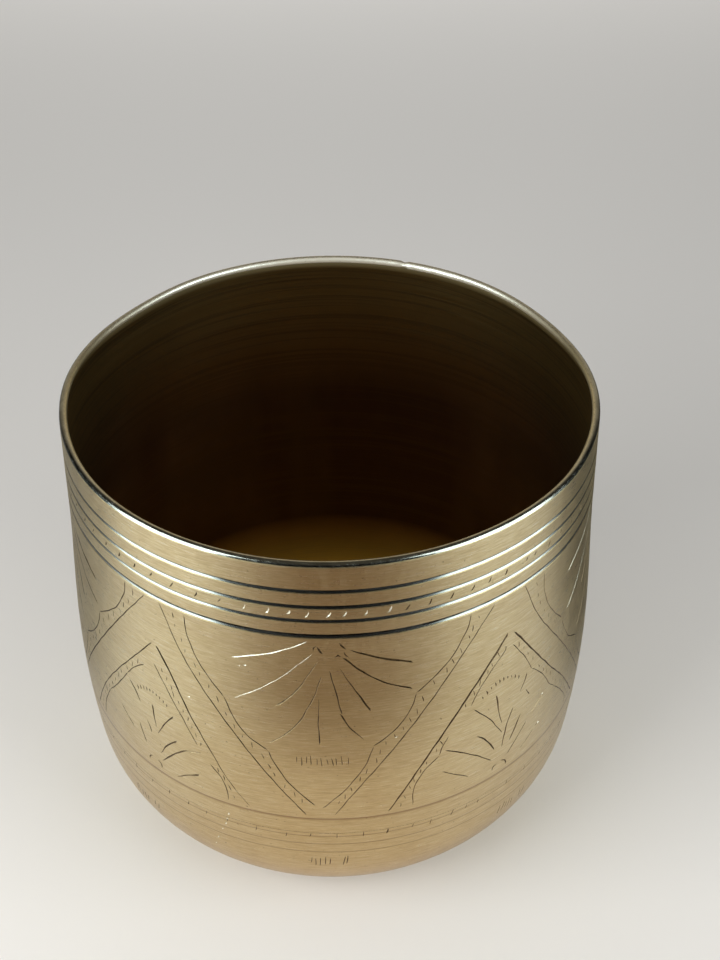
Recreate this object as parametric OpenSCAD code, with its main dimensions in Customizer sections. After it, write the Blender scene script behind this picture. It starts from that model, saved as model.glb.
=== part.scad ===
/* [Overall] */
// Outside diameter over the rolled rim
rim_d = 170; // [150:1:190]
// Height from the resting face to the top of the rolled rim
height = 163; // [150:1:180]
// Outside diameter at the widest level of the belly
belly_d = 178; // [174:1:184]
// Height of the widest level above the resting face
belly_z = 74; // [66:1:84]
// Thickness of the spun brass sheet
sheet = 0.9; // [0.7:0.1:1.2]

/* [Wall shape] */
// Depth of the nearly straight collar below the rim
collar_h = 30; // [26:1:34]
// How much the collar widens in radius over its depth
collar_flare = 1.1; // [0.5:0.1:1.6]
// Radius of the lower belly curve, seen in section
belly_curve_r = 381; // [340:1:440]
// Height at which the belly turns in towards the base
turn_z = 38; // [34:1:44]

/* [Rolled rim] */
// Outside diameter of the rolled bead
bead_d = 2.5; // [2.4:0.1:2.8]
// Diameter of the core wire inside the bead
wire_d = 1.1; // [0.9:0.1:1.1]
// Radial play between the wire and the bore of the bead
wire_play = 0.07; // [0.05:0.01:0.1]
// Width of the slit left between the curled edge and the wall
slit_w = 0.25; // [0.2:0.05:0.3]
// Gap between the two cut ends of the core wire, along the rim
wire_gap = 2.0; // [1:0.5:4]
// Direction of the wire's gap, counted from +X towards +Y
seam_angle = 71; // [0:1:359]

/* [Turned lines] */
// Depth of the first collar groove below the bead's centre
groove_first = 7.1; // [6:0.1:8]
// Distance from one collar groove to the next
groove_pitch = 5.5; // [5:0.1:6]
// Number of collar grooves
groove_count = 4; // [3:1:4]
// Width of a collar groove at the surface
groove_w = 1.4; // [1:0.1:1.6]
// Depth of a collar groove
groove_deep = 0.35; // [0.2:0.05:0.4]
// Height of the broad base line
base_line_z = 60; // [57:1:63]
// Width of the broad base line
base_line_w = 1.6; // [1.2:0.1:2]
// Depth of the broad base line
base_line_deep = 0.2; // [0.1:0.05:0.3]
// Height of the highest of the fine base lines
fine_line_z = 51; // [48:1:54]
// Distance from one fine base line to the next
fine_line_pitch = 4.5; // [4:0.5:5]
// Number of fine base lines
fine_line_count = 3; // [2:1:3]
// Width of a fine base line
fine_line_w = 0.6; // [0.5:0.1:0.8]
// Depth of a fine base line
fine_line_deep = 0.12; // [0.1:0.02:0.16]

/* [Hidden] */
brass = "#b9a273";
wire_steel = "#8a8780";
round_fn = 96;
section_fn = 40;

bead_r = bead_d / 2;
bead_ring_r = rim_d / 2 - bead_r;
bead_z = height - bead_r;
bore_r = wire_d / 2 + wire_play;
collar_z = bead_z - collar_h;
collar_r = rim_d / 2 + collar_flare;
collar_slope = collar_flare / collar_h;
belly_r = belly_d / 2;

// The belly arc meets the base round tangentially, and the round meets the flat base
turn_angle = asin((belly_z - turn_z) / belly_curve_r);
turn_r = belly_r - belly_curve_r * (1 - cos(turn_angle));
base_round = turn_z / (1 - sin(turn_angle));
flat_r = turn_r - base_round * cos(turn_angle);

base_steps = 16;
belly_steps = 5;
shoulder_steps = 10;

// Radius of the wall between the belly and the collar: a smooth blend that leaves
// the belly upright and meets the collar with the collar's own slope
function shoulder_r(z) =
    let (span = collar_z - belly_z,
         u = (collar_z - z) / span)
    collar_r * (1 - 3 * pow(u, 2) + 2 * pow(u, 3))
    + belly_r * (3 * pow(u, 2) - 2 * pow(u, 3))
    + collar_slope * span * u * pow(1 - u, 2);

// Outside radius of the wall at height z, at or above the turn
function wall_r(z) =
    z >= collar_z ? collar_r - collar_slope * (z - collar_z)
    : z >= belly_z ? shoulder_r(z)
    : belly_r - belly_curve_r + sqrt(pow(belly_curve_r, 2) - pow(belly_z - z, 2));

// Half section from the axis out along the base and up the wall, moved in by `inset`
function base_arc(inset) = [
    for (i = [0:base_steps])
        let (a = 90 - i * (90 - turn_angle) / base_steps)
        [flat_r + (base_round - inset) * cos(a), base_round - (base_round - inset) * sin(a)]
];
function belly_arc(inset) = [
    for (i = [1:belly_steps])
        let (a = turn_angle * (1 - i / belly_steps))
        [belly_r - belly_curve_r + (belly_curve_r - inset) * cos(a),
         belly_z - (belly_curve_r - inset) * sin(a)]
];
function shoulder(inset) = [
    for (i = [1:shoulder_steps])
        let (z = belly_z + i * (collar_z - belly_z) / shoulder_steps)
        [shoulder_r(z) - inset, z]
];
function half_section(inset) = concat(
    [[0, inset]], base_arc(inset), belly_arc(inset), shoulder(inset), [[rim_d / 2 - inset, bead_z]]
);
function backwards(points) = [for (i = [len(points) - 1:-1:0]) points[i]];

module ring(ring_r, z, section_r) {
    rotate_extrude($fn = round_fn)
        translate([ring_r, z]) circle(r = section_r, $fn = section_fn);
}

module spun_shell() {
    rotate_extrude($fn = round_fn)
        polygon(concat(half_section(0), backwards(half_section(sheet))));
}

// A groove with a round bottom: the arc through its two edges and its deepest point
module turned_groove(z, width, depth) {
    cutter_r = (pow(width / 2, 2) + pow(depth, 2)) / (2 * depth);
    ring(wall_r(z) - depth + cutter_r, z, cutter_r);
}

module collar_grooves() {
    for (i = [0:groove_count - 1])
        turned_groove(bead_z - groove_first - i * groove_pitch, groove_w, groove_deep);
}

module base_lines() {
    turned_groove(base_line_z, base_line_w, base_line_deep);
    for (i = [0:fine_line_count - 1])
        turned_groove(fine_line_z - i * fine_line_pitch, fine_line_w, fine_line_deep);
}

// The slit runs from the bore down along the inside of the wall
module curl_slit() {
    slit_r = rim_d / 2 - sheet - slit_w;
    rotate_extrude($fn = round_fn)
        translate([slit_r, bead_z - bead_d]) square([slit_w, bead_d]);
}

// One sheet of brass, spun to shape, with its edge rolled inwards over the wire
module vessel_body() {
    color(brass)
        difference() {
            union() {
                spun_shell();
                ring(bead_ring_r, bead_z, bead_r);
            }
            ring(bead_ring_r, bead_z, bore_r);
            curl_slit();
            collar_grooves();
            base_lines();
        }
}

// The core wire is one hoop whose two cut ends face each other across a small gap
module rim_wire() {
    gap_angle = wire_gap / bead_ring_r * 180 / PI;
    color(wire_steel)
        rotate([0, 0, seam_angle + gap_angle / 2])
            rotate_extrude(angle = 360 - gap_angle, $fn = round_fn)
                translate([bead_ring_r, bead_z]) circle(d = wire_d, $fn = section_fn);
}

vessel_body();
rim_wire();
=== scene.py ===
import math
import random

import bpy
import numpy as np
from mathutils import Euler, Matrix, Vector
from mathutils.geometry import delaunay_2d_cdt


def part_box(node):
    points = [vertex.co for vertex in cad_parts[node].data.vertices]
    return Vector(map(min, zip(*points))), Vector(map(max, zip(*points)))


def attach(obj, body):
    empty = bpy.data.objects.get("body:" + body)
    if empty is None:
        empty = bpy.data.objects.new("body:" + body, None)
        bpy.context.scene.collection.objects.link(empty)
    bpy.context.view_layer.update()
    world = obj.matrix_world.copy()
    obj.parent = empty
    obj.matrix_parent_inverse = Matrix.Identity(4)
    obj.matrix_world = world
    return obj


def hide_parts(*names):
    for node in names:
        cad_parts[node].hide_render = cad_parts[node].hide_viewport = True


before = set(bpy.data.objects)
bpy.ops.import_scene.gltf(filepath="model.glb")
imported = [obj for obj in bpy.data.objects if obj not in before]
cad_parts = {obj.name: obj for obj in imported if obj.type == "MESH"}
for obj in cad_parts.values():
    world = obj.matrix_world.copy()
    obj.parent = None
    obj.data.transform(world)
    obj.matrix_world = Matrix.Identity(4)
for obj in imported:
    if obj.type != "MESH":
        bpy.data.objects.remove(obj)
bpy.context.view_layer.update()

# ---------------------------------------------------------------- sizes, in millimetres
MM = 0.001

_, vessel_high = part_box("vessel_body")
wire_low, wire_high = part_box("rim_wire")

HEIGHT = vessel_high.z / MM
BELLY_R = vessel_high.y / MM
WIRE_R = (wire_high.z - wire_low.z) / 2 / MM
BEAD_Z = (wire_high.z + wire_low.z) / 2 / MM
BEAD_R = HEIGHT - BEAD_Z
BEAD_RING_R = -wire_low.x / MM - WIRE_R
RIM_R = BEAD_RING_R + BEAD_R

# The sheet, in the wall and where it is drawn thin round the wire
SHEET = 0.9
CURL_SHEET = 0.6
# The collar's height, and how much wider its foot is than the rim
COLLAR_H = 30.0
COLLAR_FLARE = 1.1
# The belly's height, its curve, and the height where the rounded base begins
BELLY_Z = 74.0
BELLY_CURVE_R = 381.0
TURN_Z = 38.0
# One turn of the wall when it is laid flat, and the radius that the brushing is measured at
TURN = 2 * math.pi * BELLY_R
BRUSH_R = 85

COLUMNS = 320
COLUMN_STEP = 2 * math.pi / COLUMNS

# Turned lines: how far each lies below the bead's centre along the wall, its width and depth
COLLAR_GROOVES = [(7.2, 1.4, 0.45), (12.8, 1.5, 0.47), (18.0, 1.45, 0.45), (23.75, 1.85, 0.54)]
BASE_LINE = (102.0, 1.9, 0.078)
# The fine base lines: how far each lies below the bead's centre, their half width, and their
# depth for each mm of width
FINE_LINES = [111.0, 115.4, 120.0]
FINE_HALF, FINE_STEEPNESS = 0.45, 0.075
# Rings left by the tool on the underside: radius, width and depth
BASE_RINGS = [(38.0, 1.0, 0.075), (24.0, 0.8, 0.07), (9.0, 1.2, 0.075)]
# The parts of the turned lines that lie deeper than this are bright
BRIGHT_DEPTH = 0.075

# A graver's cut: its depth for each mm of width, and the greatest depth
CUT_STEEPNESS = 0.6
CUT_DEEPEST = 0.34
# The cuts are this much narrower than the widths that they are drawn with
CUT_NARROWER = 0.8
# Depths below which a point counts as lying on the wall, and a face as lying outside the cuts
SHALLOWEST_POINT = 0.012
SHALLOWEST_FACE = 0.004


# ---------------------------------------------------------------- the wall's section
def shoulder_r(z):
    """Radius between the belly and the collar: upright at the belly, sloped like the collar above."""
    collar_z = BEAD_Z - COLLAR_H
    span = collar_z - BELLY_Z
    u = (collar_z - z) / span
    collar_r = RIM_R + COLLAR_FLARE
    slope = COLLAR_FLARE / COLLAR_H
    blend = 3 * u**2 - 2 * u**3
    return collar_r * (1 - blend) + BELLY_R * blend + slope * span * u * (1 - u) ** 2


def wall_section(step=0.1):
    """Radius and height down the outside of the wall, from the bead's level to the axis."""
    collar_z = BEAD_Z - COLLAR_H
    z_collar = np.arange(BEAD_Z, collar_z, -step)
    r_collar = RIM_R + (BEAD_Z - z_collar) * COLLAR_FLARE / COLLAR_H
    z_shoulder = np.arange(collar_z, BELLY_Z, -step)
    r_shoulder = shoulder_r(z_shoulder)
    z_belly = np.arange(BELLY_Z, TURN_Z, -step)
    r_belly = BELLY_R - BELLY_CURVE_R + np.sqrt(BELLY_CURVE_R**2 - (BELLY_Z - z_belly) ** 2)
    turn = math.asin((BELLY_Z - TURN_Z) / BELLY_CURVE_R)
    turn_r = BELLY_R - BELLY_CURVE_R * (1 - math.cos(turn))
    base_round = TURN_Z / (1 - math.sin(turn))
    flat_r = turn_r - base_round * math.cos(turn)
    a = np.arange(turn, math.pi / 2, step / base_round)
    r_round = flat_r + base_round * np.cos(a)
    z_round = base_round * (1 - np.sin(a))
    r_flat = np.arange(flat_r, -step, -step).clip(0)
    r = np.concatenate([r_collar, r_shoulder, r_belly, r_round, r_flat])
    z = np.concatenate([z_collar, z_shoulder, z_belly, z_round, 0 * r_flat])
    return r, z


SECTION_R, SECTION_Z = wall_section()
SECTION_S = np.concatenate([[0], np.cumsum(np.hypot(np.diff(SECTION_R), np.diff(SECTION_Z)))])
AXIS_S = SECTION_S[-1]


def smoothed_slope(values, reach=4):
    """Slope of the section's radius or height along s, averaged over its neighbours."""
    box = np.ones(2 * reach + 1) / (2 * reach + 1)
    return np.convolve(np.pad(np.gradient(values, SECTION_S), reach, "edge"), box, "valid")


# The section's outward normal
SECTION_NR = -smoothed_slope(SECTION_Z)
SECTION_NZ = smoothed_slope(SECTION_R)


def smoothstep(x):
    """Rises smoothly from 0 to 1 as x does, and stays there."""
    x = np.clip(x, 0, 1)
    return x * x * (3 - 2 * x)


def groove(s, centre, width, deep):
    """Depth of a turned groove at s: a short steep upper side and a long lower one."""
    across = (s - centre) / (width / 2)
    lowest = -0.5
    reach = np.where(across < lowest, 1 + lowest, 1 - lowest)
    return deep * np.clip(1 - (np.abs(across - lowest) / reach) ** 1.2, 0, 1)


def turned_depth(s):
    """Depth of the wide turned lines at s."""
    depth = groove(s, *BASE_LINE)
    for line in COLLAR_GROOVES:
        depth = np.maximum(depth, groove(s, *line))
    for radius, width, deep in BASE_RINGS:
        depth = np.maximum(depth, groove(s, AXIS_S - radius, width, deep))
    return depth


# Where the hand and use have pushed the rim out of round: direction, half width, push
RIM_DENTS = [
    (-128, 14, -1.0), (-96, 12, 0.3), (-50, 18, 0.4), (-12, 24, 0.2),
    (32, 12, -0.2), (56, 9, 0.2), (116, 17, -1.1), (160, 12, 0.1),
]
# How much higher the rim is at the front than at the back
RIM_RISE = 1.45


def rim_push(theta, s):
    """How far the rim is out of round at theta, fading down the wall."""
    push = 0 * theta
    for direction, half, amount in RIM_DENTS:
        away = np.degrees(np.angle(np.exp(1j * (theta - math.radians(direction)))))
        push = push + amount * np.exp(-((away / half) ** 2))
    return push * np.exp(-(np.maximum(s, 0) / 22) ** 2)


def rim_rise(theta, s):
    """The rim isn't quite level: the strip above the first groove is taller at the front."""
    return RIM_RISE / 2 * (1 + np.cos(theta)) * np.exp(-(np.maximum(s, 0) / 4.2) ** 2)


def ripple(theta, s):
    """The faint unevenness that spinning and handling leave in the wall."""
    fade = smoothstep(s / 20) * smoothstep((185 - s) / 30)
    slow = 0.05 * np.sin(2 * theta + 0.6) * np.sin(s / 31)
    turned = 0.012 * np.sin(s / 1.9 + 0.4 * np.sin(theta)) + 0.02 * np.sin(s / 7.3)
    knocks = 0.03 * np.sin(5 * theta + s / 17) * np.sin(3 * theta - s / 23)
    return fade * (slow + turned + knocks)


def wall(theta, s, inset=0.0, lines=True):
    """Points on the wall, `inset` mm under its outside."""
    r = np.interp(s, SECTION_S, SECTION_R)
    z = np.interp(s, SECTION_S, SECTION_Z)
    nr = np.interp(s, SECTION_S, SECTION_NR)
    nz = np.interp(s, SECTION_S, SECTION_NZ)
    push = rim_push(theta, s) + ripple(theta, s) - inset
    if lines:
        push = push - turned_depth(s)
    r = np.maximum(r + nr * push, 0)
    z = z + nz * push + rim_rise(theta, s)
    return np.stack([r * np.sin(theta), -r * np.cos(theta), z], -1)


def wall_normal(theta, s, lines=True):
    """Outward normals of the wall."""
    step_down = 0.01
    step_round = 0.02 / BRUSH_R
    across = wall(theta + step_round, s, 0, lines) - wall(theta - step_round, s, 0, lines)
    down = wall(theta, s + step_down, 0, lines) - wall(theta, s - step_down, 0, lines)
    n = np.cross(down, across)
    return n / np.linalg.norm(n, axis=-1, keepdims=True)


# ---------------------------------------------------------------- engraving
class Cut:
    """A graver's cut: a line of points (theta in radians, s in mm) with a half width at each.

    Its steepness is its depth for each mm of width. The graver leans, so the cut is wider on
    its left side than on its right. A soft cut is a shallow rubbed line that keeps the wall's
    own finish, and one with a painted glint is drawn bright and partly diffuse, with no
    darkening at its bottom.
    """

    def __init__(self, theta, s, half, steepness, lean=0.75, soft=False, clean=False):
        self.theta, self.s, self.half, self.steepness = theta, s, half, steepness
        self.lean, self.soft, self.clean = lean, soft, clean

    def is_ring(self):
        """Whether it runs right round the wall."""
        return len(self.s) == COLUMNS + 1


def curve_through(points, step):
    """Points about `step` mm apart on a smooth curve through (degrees, mm) points."""
    p = np.array([(math.radians(a) * BELLY_R, s) for a, s in points], float)
    if len(p) > 2:
        ends = np.vstack([2 * p[0] - p[1], p, 2 * p[-1] - p[-2]])
        fine = []
        for a, b, c, d in zip(ends, ends[1:], ends[2:], ends[3:]):
            t = np.linspace(0, 1, 12, endpoint=False)[:, None]
            fine.append(
                0.5 * (2 * b + (c - a) * t + (2 * a - 5 * b + 4 * c - d) * t**2
                       + (3 * b - a - 3 * c + d) * t**3)
            )
        p = np.vstack(fine + [p[-1:]])
    length = np.concatenate([[0], np.cumsum(np.hypot(*np.diff(p, axis=0).T))])
    count = max(3, int(round(length[-1] / step)) + 1)
    at = np.linspace(0, length[-1], count)
    return np.interp(at, length, p[:, 0]), np.interp(at, length, p[:, 1]), at


def cut(points, widths, rng, step=1.1, wobble=0.06, clean=False):
    """A cut through (degrees, mm) points with its width at the start, middle and end."""
    x, s, at = curve_through(points, step)
    t = at / at[-1]
    a, b, c = (CUT_NARROWER * w for w in widths)
    width = a * (1 - t) * (1 - 2 * t) + 4 * b * t * (1 - t) + c * t * (2 * t - 1)
    width = np.maximum(width, 0.1)
    phase = rng.uniform(0, 6.3, 3)
    sway = np.sin(at / 1.7 + phase[0]) + 0.6 * np.sin(at / 0.9 + phase[1])
    across = np.gradient(s), -np.gradient(x)
    size = np.hypot(*across)
    x = x + wobble * sway * across[0] / size
    s = s + wobble * sway * across[1] / size
    width = width * (1 + 0.15 * np.sin(at / 1.3 + phase[2]))
    ends = np.minimum(at, at[-1] - at)
    half = width / 2 * np.clip(ends / (0.6 * width + 0.05), 0, 1) ** 0.6
    return Cut(x / BELLY_R, s, half, CUT_STEEPNESS, clean=clean)


def tick(angle, s, length, slant, width, rng, clean=False):
    """A short straight nick centred at (angle, s); slant is in degrees from upright."""
    dx = length / 2 * math.sin(math.radians(slant)) / BELLY_R
    ds = length / 2 * math.cos(math.radians(slant))
    dx = math.degrees(dx)
    points = [(angle + dx, s - ds), (angle - dx, s + ds)]
    return cut(points, (0.6 * width, width, 0.8 * width), rng, 0.7, 0.03, clean)


def band_ticks(outer, inner, spacing, rng):
    """The nicks that fill the band between a border's outer and inner line."""
    ox, os_, _ = curve_through(outer, 1.0)
    found = []
    for lobe in inner:
        ix, is_, at = curve_through(lobe, 1.0)
        place = spacing * rng.uniform(0.3, 0.8)
        while place < at[-1] - 0.8:
            s = np.interp(place, at, is_)
            x_in = np.interp(place, at, ix)
            x_out = np.interp(s, os_, ox)
            share = rng.uniform(0.4, 0.62)
            middle = math.degrees((x_in * share + x_out * (1 - share)) / BELLY_R)
            room = abs(x_in - x_out)
            if room > 2.0:
                lean = rng.uniform(-24, 12)
                size = min(rng.uniform(1.6, 3.0), room)
                found.append(tick(middle, s, size, lean, rng.uniform(0.28, 0.42), rng))
            place += spacing * rng.uniform(0.75, 1.3)
    return found


def bordered_side(outer, widths, lobes, lobe_widths, spacing, rng):
    """One side of a panel: its outer line, its lobed inner line, and the nicks between them."""
    found = [cut(outer, widths, rng, wobble=0.05)]
    found += [cut(lobe, lobe_widths, rng) for lobe in lobes]
    return found + band_ticks(outer, lobes, spacing, rng)


# The hanging panel, as (degrees from its middle, mm down the wall)
HANGING_OUTER = {
    "left": [(-34.6, 24.9), (-29.4, 42.5), (-18.4, 67.5), (-4.4, 100)],
    "right": [(34.6, 25.2), (26.7, 41), (16.7, 62.5), (6.7, 85), (1.2, 99.5)],
}
HANGING_LOBES = {
    "left": [
        [(-28.6, 25.6), (-28, 34), (-25.3, 43.5), (-20.5, 53)],
        [(-20.5, 53), (-19, 59), (-16.3, 66), (-11.7, 71.5)],
        [(-11.7, 71.5), (-10.3, 77.5), (-7.3, 86), (-2.6, 95)],
    ],
    "right": [
        [(29, 24.9), (28, 31), (24.2, 40.5), (17.6, 49.5)],
        [(17.6, 49.5), (16.5, 55), (13.7, 62), (9, 68.5)],
        [(9, 68.5), (7.2, 77), (3.2, 87.5), (-1.2, 96)],
    ],
}
# The palmette's petals and the little flower that they hang from, with their widths at the
# start, middle and end. The first two petals carry a painted glint.
PETALS = [
    ([(-3.4, 25.6), (-9.4, 30.6), (-18.6, 36)], (0.25, 0.45, 0.4), "clean"),
    ([(-2.6, 30.5), (-8.4, 40), (-12.9, 46), (-18.2, 52)], (0.08, 0.15, 0.25), "clean"),
    ([(-1.4, 33), (-3.9, 40), (-6.4, 46.5), (-9.9, 52)], (0.2, 0.5, 0.7)),
    ([(-0.9, 39), (-2.9, 49), (-6.4, 60), (-11.4, 68)], (0.3, 0.5, 0.5)),
    ([(-1.5, 48), (-1.7, 58), (-1.5, 67)], (0.2, 0.4, 0.5)),
    ([(0.6, 37), (1.8, 46), (2.9, 54.5)], (0.4, 0.5, 0.4)),
    ([(2.5, 54), (4.2, 59.5), (7.2, 65.5)], (0.5, 0.5, 0.2)),
    ([(2.5, 36), (5.1, 44), (8.5, 54)], (0.2, 0.5, 0.9)),
    ([(3.1, 32), (7.6, 39), (12.1, 44), (16.8, 47.5)], (0.9, 0.6, 0.7)),
    ([(4.4, 29), (9.6, 33), (16.9, 37.2)], (0.4, 1.0, 0.9)),
    ([(-1.6, 27.6), (-1.2, 29.5), (-0.5, 30.6)], (0.6, 0.9, 0.8)),
    ([(1.6, 31.9), (2.4, 31.2), (3.0, 31.8)], (0.6, 0.8, 0.6)),
    ([(2.5, 26), (2.9, 27.6), (3.9, 28.8)], (0.5, 0.6, 0.6)),
    ([(-2.4, 29.6), (-2.2, 28.2), (-1.7, 27.2)], (0.3, 0.5, 0.3)),
    ([(3.4, 29.5), (3.6, 31), (4.4, 32)], (0.3, 0.5, 0.5)),
]


def hanging_panel(middle, squeeze, rng):
    """A down-pointing panel: two lobed borders, a palmette and a row of nicks below it."""
    def place(points):
        return [(middle + squeeze * a, s) for a, s in points]

    found = []
    for side in ("left", "right"):
        outer = place(HANGING_OUTER[side])
        lobes = [place(lobe) for lobe in HANGING_LOBES[side]]
        found += bordered_side(outer, (0.34, 0.48, 0.38), lobes, (0.4, 0.42, 0.45), 4.4, rng)
    for points, widths, *clean in PETALS:
        found.append(cut(place(points), widths, rng, clean=bool(clean)))
    for i in range(11):
        angle = middle + squeeze * (-6.3 + i * 1.02 + rng.uniform(-0.25, 0.25))
        size = rng.uniform(2.8, 4.8)
        found.append(tick(angle, 74 + rng.uniform(-0.6, 0.6), size, rng.uniform(-10, 4), 0.36, rng))
    return found


# The standing panels, as (degrees from the middle, mm down the wall). Two hands' work:
# the wide one has a hooked inner line, the narrow one stands lower.
WIDE_PANEL = {
    "outer": {
        "left": ([(-0.9, 39.8), (-7.2, 51), (-12.7, 62), (-19.7, 78.5), (-27.2, 100)], (1.2, 0.8, 0.6)),
        "right": ([(0.8, 41), (8.3, 58), (14.3, 71), (19.3, 81), (27.5, 100)], (0.9, 0.55, 0.6)),
    },
    "inner": {
        "left": [
            [(-1.9, 44.6), (-1.4, 46), (-4.7, 51), (-7.7, 56.5), (-9.9, 62.6)],
            [(-14.7, 71.5), (-16, 75), (-16.7, 79)],
            [(-16.7, 79), (-19.4, 83), (-21.5, 88.5), (-22.1, 94), (-22, 99.5)],
        ],
        "right": [
            [(0.5, 45.8), (3.8, 53.5), (6.6, 62)],
            [(6.6, 62), (10.3, 68.5), (13.3, 76.5), (15.8, 81)],
            [(15.8, 81), (19.5, 88), (22.5, 95), (23, 99.5)],
        ],
    },
    "fan": [
        ([(-3.6, 63), (-2.9, 70), (-1.7, 77.5)], (0.9, 0.5, 0.3)),
        ([(-9.2, 64.5), (-5.2, 72), (-1.4, 82)], (0.4, 0.45, 0.3)),
        ([(-8.1, 77), (-5.4, 82), (-3.3, 88)], (0.3, 0.7, 0.5)),
        ([(-15.4, 77.5), (-9.2, 84.5), (-3.7, 92.8)], (0.6, 0.45, 0.4)),
        ([(-15.9, 87), (-12.7, 91), (-9.4, 95)], (0.3, 0.4, 0.3)),
        ([(1.3, 73), (-0.5, 80), (-1.3, 89)], (0.4, 0.6, 0.4)),
        ([(3.8, 78.5), (2.3, 83), (0.7, 88)], (0.3, 0.8, 0.5)),
        ([(5.1, 62), (4.3, 65), (3, 68.5)], (1.0, 0.5, 0.3)),
        ([(4.9, 69), (5.7, 71.5), (6.3, 73)], (0.3, 0.5, 0.9)),
        ([(5.8, 84.5), (3.8, 88), (0.5, 94.5)], (0.4, 0.5, 0.4)),
        ([(11.3, 78), (9.3, 80), (7.3, 82.5)], (0.9, 0.5, 0.3)),
        ([(10.3, 90.5), (8.3, 92.5), (4.3, 97)], (0.9, 0.6, 0.8)),
        ([(-3.2, 98.6), (-3.1, 96.8), (-2, 96.1)], (0.4, 0.6, 0.9)),
        ([(-1.1, 95.6), (0.2, 97), (0.5, 99.4)], (0.4, 0.6, 0.7)),
    ],
    "arc": (-7.0, 2.5, 58, 61.3),
}
NARROW_PANEL = {
    "outer": {
        "left": ([(-0.4, 43.2), (-6.4, 55), (-12.4, 67), (-18.4, 80.5), (-25.5, 100)], (0.5, 0.4, 0.4)),
        "right": (
            [(0.6, 43.6), (4.1, 52), (8.6, 66), (13.1, 79), (16.6, 90), (20.8, 100)], (1.0, 0.5, 0.2)
        ),
    },
    "inner": {
        "left": [
            [(-2.9, 54.6), (-5.6, 58), (-8.6, 64)],
            [(-8.6, 64), (-12.4, 73), (-16.4, 81)],
            [(-16.4, 81), (-18.6, 87), (-20.6, 94), (-21.5, 99.5)],
        ],
        "right": [
            [(-0.2, 51.5), (3.6, 61), (7.1, 70), (9.9, 78.3)],
            [(12.6, 84.5), (15, 90), (16, 96), (15.9, 99.8)],
        ],
    },
    "fan": [
        ([(-8, 66), (-6.5, 69), (-4.9, 73)], (0.4, 0.6, 0.4)),
        ([(-1.4, 70), (-1.1, 75), (-0.7, 80)], (0.9, 0.5, 0.3)),
        ([(4.3, 70), (1.6, 76), (-0.4, 82.5)], (0.7, 0.5, 0.3)),
        ([(4.7, 80.5), (1.6, 86), (-0.2, 91.5)], (1.0, 0.6, 0.3)),
        ([(10.8, 80.7), (5.6, 84.5), (-0.2, 95)], (0.4, 0.7, 0.4)),
        ([(9.7, 92), (6.6, 95), (3.6, 99)], (1.0, 0.7, 0.3)),
        ([(-6, 83), (-5.2, 87), (-4.4, 91)], (0.3, 0.5, 0.3)),
        ([(-12, 82), (-9.9, 85), (-8, 88)], (0.3, 0.5, 0.4)),
        ([(-3.4, 79), (-2.6, 81.5), (-2.4, 84)], (0.3, 0.4, 0.3)),
        ([(-4, 98.8), (-3.9, 97), (-3, 96.2)], (0.4, 0.6, 0.7)),
        ([(-1.6, 96), (-0.6, 97.4), (-0.6, 99.4)], (0.4, 0.5, 0.6)),
    ],
    "arc": (-5.4, 2.7, 64.4, 66.8),
}


def standing_panel(kind, middle, squeeze, rng):
    """An up-pointing panel: two bordered sides, an arc of nicks and a fan of strokes."""
    def place(points):
        return [(middle + squeeze * a, s) for a, s in points]

    found = []
    for side in ("left", "right"):
        points, widths = kind["outer"][side]
        lobes = [place(lobe) for lobe in kind["inner"][side]]
        found += bordered_side(place(points), widths, lobes, (0.36, 0.4, 0.32), 3.6, rng)
    found += [cut(place(points), widths, rng) for points, widths in kind["fan"]]
    first, last, top, foot = kind["arc"]
    for i in range(10):
        t = i / 9
        angle = first + (last - first) * t
        s = top + (foot - top) * (2 * t - 1) ** 2
        lean = -18 * (1 - t) + 6 * t
        found.append(tick(middle + squeeze * angle, s, rng.uniform(1.4, 2.2), lean, 0.55, rng))
    return found


# Where the panels stand round the wall, in degrees from the front, and how they are squeezed
HANGING = [(-1.6, 1.0), (75.6, 1.0), (145.5, 0.92), (215.4, 0.92), (285.4, 1.0)]
STANDING = [
    (37.7, 1.0, WIDE_PANEL), (110.6, 0.93, NARROW_PANEL), (180.4, 0.92, WIDE_PANEL),
    (250.3, 0.93, WIDE_PANEL), (321.4, 1.0, NARROW_PANEL),
]


# Later scratches and knocks, bright with a painted glint: direction, mm down the wall, length, slant
# and width
FRIEZE_SCRATCHES = [
    (-17.5, 38, 1.6, 80, 0.8), (-18.6, 38.8, 1.0, 70, 0.5), (48.5, 78, 0.9, 30, 0.9),
    (48, 91, 0.9, 10, 0.9), (-30, 58, 1.4, 60, 0.4), (12, 66, 1.2, 75, 0.4), (130, 60, 2.0, 40, 0.6),
    (200, 48, 1.6, 70, 0.6), (262, 84, 1.8, 20, 0.6),
]
FOOT_SCRATCHES = [
    (-23, 107, 1.6, 20, 0.7), (-23.5, 110, 1.4, 25, 0.8), (-24, 113, 1.8, 15, 0.7),
    (-25, 117, 1.6, 25, 0.6), (-26.5, 123, 1.8, 20, 0.7), (-27.5, 128, 1.2, 30, 0.6),
    (95, 118, 2.0, 40, 0.6), (190, 112, 2.4, 55, 0.6),
]


def frieze_cuts():
    """All the cuts of the frieze between the lowest groove and the broad base line."""
    rng = np.random.default_rng(7)
    found = []
    for middle, squeeze in HANGING:
        found += hanging_panel(middle, squeeze, rng)
    for middle, squeeze, kind in STANDING:
        found += standing_panel(kind, middle, squeeze, rng)
    found += [tick(*scratch, rng, clean=True) for scratch in FRIEZE_SCRATCHES]
    return found


def ring_line(s, half, steepness, soft=False):
    """A fine turned line right round the wall, as a cut with a point on each column."""
    theta = np.arange(COLUMNS + 1) * COLUMN_STEP
    return Cut(theta, np.full(COLUMNS + 1, s), np.full(COLUMNS + 1, half), steepness, 0, soft)


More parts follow.
